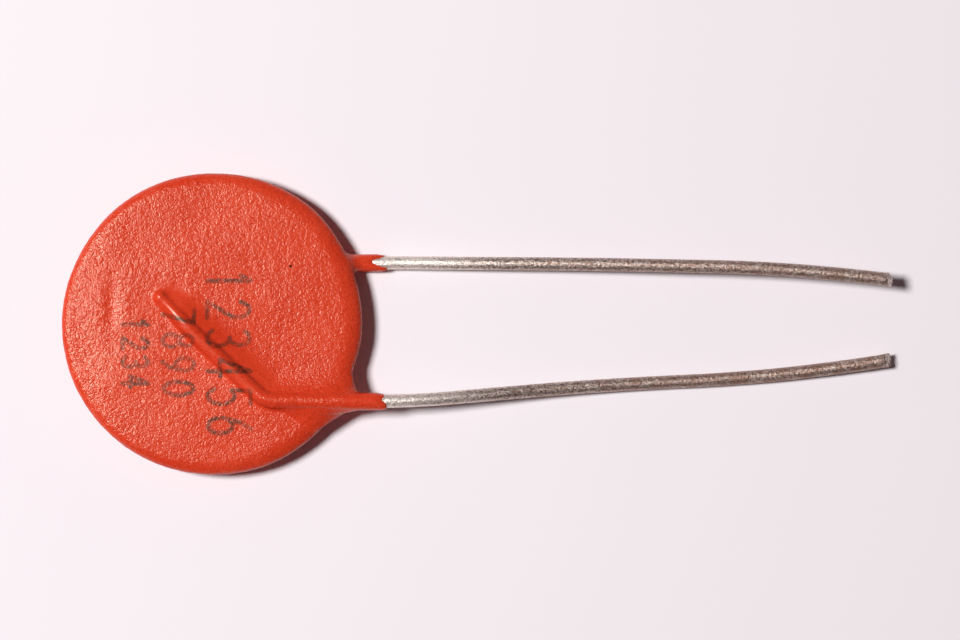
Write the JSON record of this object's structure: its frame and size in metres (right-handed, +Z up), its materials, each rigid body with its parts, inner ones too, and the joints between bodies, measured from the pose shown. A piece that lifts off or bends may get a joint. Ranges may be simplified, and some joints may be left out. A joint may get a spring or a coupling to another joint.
{
  "type": "ceramic disc capacitor",
  "caption": "Radial-lead ceramic disc capacitor: a thin resin-dipped disc with bare tinned wire leads that cross over under the coating.",
  "frame": {"origin": "under the middle of the whole part, on the surface that it lies on", "axes": "+X along the leads towards their cut ends, +Y across them towards the back lead, +Z up out of the disc's front face"},
  "size_m": [0.0396, 0.0144, 0.0021],
  "materials": {
    "coating": "satin",
    "lead_wire": "satin",
    "solder": "satin",
    "silver_film": "matte",
    "ceramic": "matte"
  },
  "bodies": {
    "root": {"coating": "coating", "front_lead": "lead_wire", "back_lead": "lead_wire", "front_solder": "solder", "back_solder": "solder", "front_electrode": "silver_film", "back_electrode": "silver_film", "ceramic_disc": "ceramic"}
  },
  "joints": []
}
